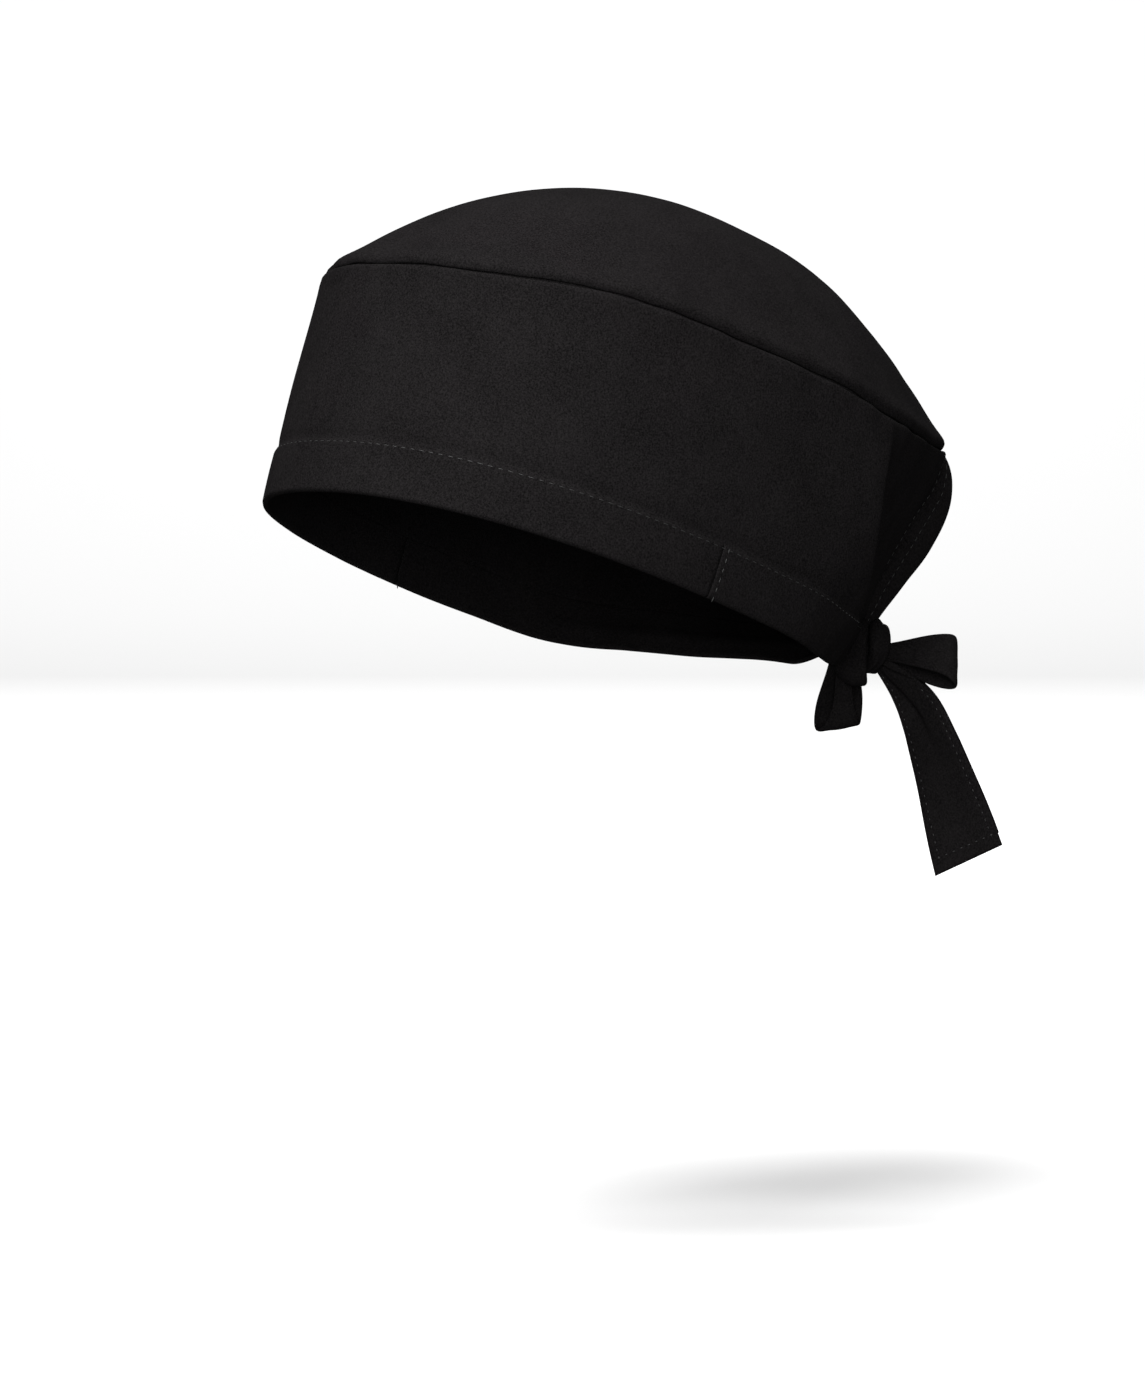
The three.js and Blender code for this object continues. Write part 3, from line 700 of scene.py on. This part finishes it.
# Stitches.
def stitch_tree():
    """Geometry nodes: short threads at an even pitch along the edges of a path mesh."""
    tree = bpy.data.node_groups.new("stitch_row", "GeometryNodeTree")
    tree.interface.new_socket("Path", in_out="INPUT", socket_type="NodeSocketGeometry")
    for label, value in (("Pitch", 0.003), ("Stitch length", 0.0022), ("Thread thickness", 0.0004)):
        socket = tree.interface.new_socket(label, in_out="INPUT", socket_type="NodeSocketFloat")
        socket.default_value = value
    seed = tree.interface.new_socket("Seed", in_out="INPUT", socket_type="NodeSocketInt")
    seed.default_value = 4
    tree.interface.new_socket("Thread", in_out="INPUT", socket_type="NodeSocketMaterial")
    tree.interface.new_socket("Stitches", in_out="OUTPUT", socket_type="NodeSocketGeometry")
    source = add_node(tree, "NodeGroupInput", (-900, 0))
    result = add_node(tree, "NodeGroupOutput", (900, 0))
    to_curve = add_node(tree, "GeometryNodeMeshToCurve", (-650, 100))
    points = add_node(tree, "GeometryNodeCurveToPoints", (-420, 100), mode="LENGTH")
    ball = add_node(tree, "GeometryNodeMeshUVSphere", (-420, -150))
    ball.inputs["Segments"].default_value = 6
    ball.inputs["Rings"].default_value = 5
    ball.inputs["Radius"].default_value = 0.5
    size = add_node(tree, "ShaderNodeCombineXYZ", (-420, -350))
    uneven = add_node(tree, "FunctionNodeRandomValue", (-650, -450), data_type="FLOAT")
    uneven.inputs[2].default_value = 0.85
    uneven.inputs[3].default_value = 1.12
    longer = add_node(tree, "ShaderNodeMath", (-640, -300), operation="MULTIPLY")
    place = add_node(tree, "GeometryNodeInstanceOnPoints", (-100, 50))
    real = add_node(tree, "GeometryNodeRealizeInstances", (150, 50))
    shade = add_node(tree, "GeometryNodeSetShadeSmooth", (350, 50))
    paint = add_node(tree, "GeometryNodeSetMaterial", (550, 50))
    link = tree.links.new
    link(source.outputs["Path"], to_curve.inputs["Mesh"])
    link(to_curve.outputs["Curve"], points.inputs["Curve"])
    link(source.outputs["Pitch"], points.inputs["Length"])
    link(source.outputs["Seed"], uneven.inputs["Seed"])
    link(source.outputs["Stitch length"], longer.inputs[0])
    link(uneven.outputs[1], longer.inputs[1])
    link(source.outputs["Thread thickness"], size.inputs["X"])
    link(source.outputs["Thread thickness"], size.inputs["Y"])
    link(longer.outputs[0], size.inputs["Z"])
    link(points.outputs["Points"], place.inputs["Points"])
    link(points.outputs["Rotation"], place.inputs["Rotation"])
    link(ball.outputs["Mesh"], place.inputs["Instance"])
    link(size.outputs["Vector"], place.inputs["Scale"])
    link(place.outputs["Instances"], real.inputs["Geometry"])
    link(real.outputs["Geometry"], shade.inputs["Geometry"])
    link(shade.outputs["Geometry"], paint.inputs["Geometry"])
    link(source.outputs["Thread"], paint.inputs["Material"])
    link(paint.outputs["Geometry"], result.inputs["Stitches"])
    return tree


def sew(name, tree, paths, material, pitch, length, thickness, seed=4):
    """Stitches along lines of points in metres, as one plain mesh that rides on the body."""
    vertices, edges = [], []
    for path in paths:
        first = len(vertices)
        vertices += [tuple(p) for p in path]
        edges += [(first + i, first + i + 1) for i in range(len(path) - 1)]
    mesh = bpy.data.meshes.new(name + "_path")
    mesh.from_pydata(vertices, edges, [])
    guide = bpy.data.objects.new(name + "_path", mesh)
    bpy.context.scene.collection.objects.link(guide)
    modifier = guide.modifiers.new("stitches", "NODES")
    modifier.node_group = tree
    values = {"Pitch": pitch, "Stitch length": length, "Thread thickness": thickness, "Seed": seed,
              "Thread": material}
    for socket in tree.interface.items_tree:
        if socket.in_out == "INPUT" and socket.name in values:
            modifier[socket.identifier] = values[socket.name]
    guide.update_tag()
    bpy.context.view_layer.update()
    evaluated = guide.evaluated_get(bpy.context.evaluated_depsgraph_get())
    plain = bpy.data.meshes.new_from_object(evaluated)
    plain.name = name
    bpy.data.objects.remove(guide)
    made = bpy.data.objects.new(name, plain)
    if not plain.materials:
        plain.materials.append(material)
    bpy.context.scene.collection.objects.link(made)
    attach(made, "root")
    return made


def cap_path(turns, runs, lift):
    """A line on the cap's outside, lift millimetres above it."""
    turns, runs = np.broadcast_arrays(np.asarray(turns, float), np.asarray(runs, float))
    out = relief(turns, runs) + lift
    return to_row(cloth(turns, runs) + cloth_normal(turns, runs) * out[..., None])


# Making the cap.
black_cloth = cloth_material("black_cloth", CLOTH_SHADE, mottle=0.12)
tie_cloth = cloth_material("tie_cloth", CLOTH_SHADE, mottle=0.11)
grey_thread = thread_material("grey_thread", GREY_SHADE)
dark_thread = thread_material("dark_thread", DARK_SHADE)
pale_thread = thread_material("pale_thread", PALE_SHADE)

all_round = crowded_turns(0, 360, 620, closed=True)


def hem_line(turn):
    """The run of the hem's stitched edge."""
    return HEM_WIDTH / band_length(turn)


def under_hem_line(turn):
    """The run of the hem's upper edge, a hair below the panel's."""
    return hem_line(turn) - HEM_EDGE_GAP / band_length(turn)


crown = crown_piece("crown_cloth", all_round, 62, 26, black_cloth, ["crown_panel"])
side = cap_piece(
    "side_cloth",
    all_round,
    lambda turn: hem_line(turn) - HEM_LAP / band_length(turn),
    lambda turn: 1 - SEAM_GAP / band_length(turn),
    section_rows(62, 26, CLOTH_WALL),
    black_cloth,
    closed=True,
    replaced=["side_panel"],
)
allowance = cap_piece(
    "crown_seam_allowance",
    all_round,
    lambda turn: 1 - SEAM_ALLOWANCE / band_length(turn),
    lambda turn: 1 + 1.2 / band_length(turn),
    section_rows(10, 6, ALLOWANCE_WALL, near_edges=(0.9, 1.8)),
    black_cloth,
    proud=-CLOTH_WALL - 0.05,
    closed=True,
)


def hem_proud(turn, run):
    """How far the hem stands out. It is fuller in its middle, and its low edge turns in at the knot."""
    place = np.clip(run * band_length(turn) / HEM_WIDTH, 0, 1)
    turned_in = TURNED_IN * smooth((from_front(turn) - TURNED_IN_FROM_DEG) / 8) * (1 - place)
    return HEM_PROUD * (0.75 + 0.5 * np.sin(np.pi * place) ** 0.5) - turned_in


hem_rows = section_rows(16, 12, HEM_WALL, near_edges=(1.2, 2.0))
hem = cap_piece(
    "front_hem_cloth",
    np.linspace(-TIE_START_DEG + HEM_JOINT_GAP_DEG, TIE_START_DEG - HEM_JOINT_GAP_DEG, 300),
    lambda turn: 0 * turn,
    under_hem_line,
    hem_rows,
    black_cloth,
    proud=hem_proud,
    replaced=["front_hem"],
)
band_turns = np.linspace(TIE_START_DEG + HEM_JOINT_GAP_DEG, TIE_END_DEG, 180)


def tie_low_edge(turn):
    """The lower edge of a tie band, which narrows as it turns into the knot."""
    return hem_line(turn) * 0.75 * smooth((from_front(turn) - TURNED_IN_FROM_DEG) / 9) ** 1.4


for side_name, sign in (("left", 1), ("right", -1)):
    cap_piece(
        side_name + "_tie_band_cloth",
        band_turns if sign > 0 else -band_turns[::-1],
        tie_low_edge,
        under_hem_line,
        hem_rows,
        tie_cloth,
        proud=hem_proud,
        replaced=[side_name + "_tie_band"],
    )

for number, side_name in enumerate(("left", "right")):
    middle, across, width = loop_line(**LOOPS[side_name])
    strip_piece(
        side_name + "_loop_cloth", middle, across, width, tie_cloth,
        profile=loop_profile(number), replaced=[side_name + "_loop"],
    )

# The tails: side, length and shift from the knot. The right one lies behind the left one.
TAIL_PLACES = (
    ("left", TAIL_LENGTH, np.zeros(3)),
    ("right", TAIL_LENGTH * RIGHT_TAIL_SHARE, np.array([-RIGHT_TAIL_ASIDE, TAIL_SPACING, 0.0])),
)
for number, (side_name, length, shift) in enumerate(TAIL_PLACES):
    middle, across, width = tail_line(length, shift)
    strip_piece(
        side_name + "_tail_cloth", middle, across, width, tie_cloth,
        profile=tail_profile(17 * number), replaced=[side_name + "_tail"], columns=48,
    )

# The knot: two wraps of cloth and the core between them, each by points of its middle line and widths.
WRAPS = {
    "knot_left_wrap": dict(
        points=[(-1.0, 4, 6.0), (-1.2, -3.0, 4.2), (-2.4, -6.6, -0.5), (-3.6, -6.9, -5.5),
                (-4.2, -4.6, -9.8), (-4.2, 1.0, -11)],
        widths=[5, 5.5, 8, 11, 11.4, 9],
    ),
    "knot_core": dict(
        points=[(-6, 4, 4), (-3, 0.6, 4.2), (0.5, -0.8, 1), (1.2, -0.8, -4), (0, 2, -8)],
        widths=[9, 11, 12, 11, 9],
    ),
    "knot_right_wrap": dict(
        points=[(2.6, 5, 5.6), (4.2, -0.5, 5.4), (5.2, -4.2, 2.8), (5.2, -4.9, -0.8),
                (3.8, -4.2, -4.2), (0.5, -2, -7)],
        widths=[5, 7, 7.8, 7.4, 5.6, 4],
    ),
}
for number, (name, shape) in enumerate(WRAPS.items()):
    middle, across, width, outward = wrap_line(shape["points"], shape["widths"])
    strip_piece(
        name, middle, across, width, tie_cloth, wall=5.0, edge_power=2.6, normals=outward,
        profile=lambda t, s, n=number: 0.5 * np.cos(2 * np.pi * (1.5 * t + 0.3 * n)) * np.abs(2 * s - 1),
        replaced=["knot"] if number == 0 else (),
    )

# Stitches.
stitches = stitch_tree()


def hem_stitch_path(turns):
    runs = (HEM_WIDTH - HEM_STITCH_DROP) / band_length(turns)
    return cap_path(turns, runs, HEM_PROUD * 0.8 + THREAD_LIFT)


def tie_start_path(sign):
    """Up the seam where the hem ends and a tie band starts."""
    up = np.linspace(0.4, HEM_WIDTH - 1.5, 40)
    turns = np.full_like(up, sign * (TIE_START_DEG + 0.9))
    return cap_path(turns, up / band_length(turns), HEM_PROUD + 2 * THREAD_LIFT)


def back_seam_path(aside_deg):
    runs = np.linspace(0.2, 0.97, 60)
    return cap_path(np.full_like(runs, 180 + aside_deg), runs, THREAD_LIFT)


def strip_path(line, profile, t, s):
    """A line on the camera's side of a strip, t across and s along it."""
    middle, across, width = line
    across = unit(across)
    normal = unit(np.cross(across, unit(np.gradient(middle, axis=0))))
    t, s = np.broadcast_arrays(np.asarray(t, float), np.asarray(s, float))
    place = s * (len(middle) - 1)
    out = profile(t, s) - TIE_WALL / 2
    points = spline(middle, place) + spline(across, place) * (t * spline(width, place))[:, None]
    return bow_to_row(points + spline(normal, place) * out[:, None])


def tail_stitch_paths(length, shift, profile):
    """Down both long edges of a tail and across its end."""
    line = tail_line(length, shift)
    near, far, end = -0.38, 0.41, 0.953
    along = np.linspace(0.2, end, 120)
    return [
        strip_path(line, profile, near, along),
        strip_path(line, profile, far, along[along > 0.4]),
        strip_path(line, profile, np.linspace(near, far, 30), end),
    ]


hem_turns = np.linspace(-TIE_START_DEG, TIE_START_DEG, 500)
tie_turns = np.linspace(TIE_START_DEG, TIE_END_DEG - 4, 250)
hem_stitches = sew("hem_stitches", stitches, [hem_stitch_path(hem_turns)], grey_thread, *HEM_STITCH)
sew("tie_start_stitches", stitches, [tie_start_path(sign) for sign in (1, -1)], grey_thread,
    *TIE_START_STITCH)
sew("tie_band_stitches", stitches, [hem_stitch_path(sign * tie_turns) for sign in (1, -1)], dark_thread,
    *HEM_STITCH)
sew("back_seam_stitches", stitches, [back_seam_path(aside) for aside in (-1.3, 1.3)], dark_thread,
    *BACK_STITCH)
for number, (side_name, length, shift) in enumerate(TAIL_PLACES):
    paths = tail_stitch_paths(length, shift, tail_profile(17 * number))
    sew(side_name + "_tail_stitches", stitches, paths, pale_thread, *TAIL_STITCH)

# Stage, light and camera.
FLOOR_Z = -0.20


def studio_material(name, shade):
    """Plain matte paper for the floor and the backdrop."""
    material = bpy.data.materials.new(name)
    material.use_nodes = True
    shader = material.node_tree.nodes["Principled BSDF"]
    shader.inputs["Base Color"].default_value = (shade, shade, shade, 1)
    shader.inputs["Roughness"].default_value = 0.9
    return material


def make_stage():
    """A pale floor that curves up into a backdrop. It throws no light back on the cloth."""
    half, near, far, bend, top = 6.0, -6.0, 5.0, 1.5, 6.0
    profile = [(near, 0.0), (far - bend, 0.0)]
    for step in range(1, 13):
        a = math.pi / 2 * step / 12
        profile.append((far - bend + bend * math.sin(a), bend - bend * math.cos(a)))
    profile.append((far, top))
    vertices = [(x, y, FLOOR_Z + z) for y, z in profile for x in (-half, half)]
    faces = [(2 * i, 2 * i + 1, 2 * i + 3, 2 * i + 2) for i in range(len(profile) - 1)]
    mesh = bpy.data.meshes.new("floor")
    mesh.from_pydata(vertices, [], faces)
    mesh.polygons.foreach_set("use_smooth", [True] * len(mesh.polygons))
    mesh.materials.append(studio_material("pale_floor", 0.82))
    mesh.transform(Matrix.Rotation(math.radians(VIEW_AZIMUTH_DEG), 4, "Z"))
    made = bpy.data.objects.new("floor", mesh)
    made.visible_diffuse = made.visible_glossy = False
    bpy.context.scene.collection.objects.link(made)


def soft_light(name, place, aim, size, power):
    """A square softbox. place and aim are in the view's frame: x right, y away, z up."""
    data = bpy.data.lights.new(name, "AREA")
    data.shape = "SQUARE"
    data.size = size
    data.energy = power
    made = bpy.data.objects.new(name, data)
    view = Matrix.Rotation(math.radians(VIEW_AZIMUTH_DEG), 3, "Z")
    made.location = view @ Vector(place)
    towards = view @ (Vector(aim) - Vector(place))
    made.rotation_euler = towards.to_track_quat("-Z", "Y").to_euler()
    bpy.context.scene.collection.objects.link(made)


# The camera: angles of the photograph's view, and its distance and height from the origin.
VIEW_AZIMUTH_DEG = 52
VIEW_DISTANCE, VIEW_HEIGHT = 1.490, 0.0509
VIEW_PITCH_DEG, VIEW_YAW_DEG = 3.01, 0.126
LENS_MM, SENSOR_MM = 125, 36

make_stage()
soft_light("key", place=(-0.575, -0.805, 2.07), aim=(0, 0, 0.03), size=1.5, power=92)
soft_light("front_fill", place=(-0.2, -2.3, 0.62), aim=(0, 0, 0.0), size=1.2, power=54)
soft_light("backdrop_light", place=(0, 1.2, 2.8), aim=(0, 5.0, 0.6), size=2.6, power=150)

world = bpy.data.worlds.new("studio")
world.use_nodes = True
world.node_tree.nodes["Background"].inputs["Color"].default_value = (1, 1, 1, 1)
world.node_tree.nodes["Background"].inputs["Strength"].default_value = 0.28
bpy.context.scene.world = world

camera_data = bpy.data.cameras.new("camera")
camera_data.lens = LENS_MM
camera_data.sensor_width = SENSOR_MM
camera = bpy.data.objects.new("camera", camera_data)
azimuth = math.radians(VIEW_AZIMUTH_DEG)
towards = Vector((math.sin(azimuth), -math.cos(azimuth), 0))
camera.location = towards * VIEW_DISTANCE + Vector((0, 0, VIEW_HEIGHT))
look = -towards
look.rotate(Matrix.Rotation(math.radians(-VIEW_YAW_DEG), 3, "Z"))
look.z = -math.tan(math.radians(VIEW_PITCH_DEG))
camera.rotation_euler = look.to_track_quat("-Z", "Y").to_euler()
bpy.context.scene.collection.objects.link(camera)
bpy.context.scene.camera = camera
bpy.context.scene.view_settings.view_transform = "Standard"
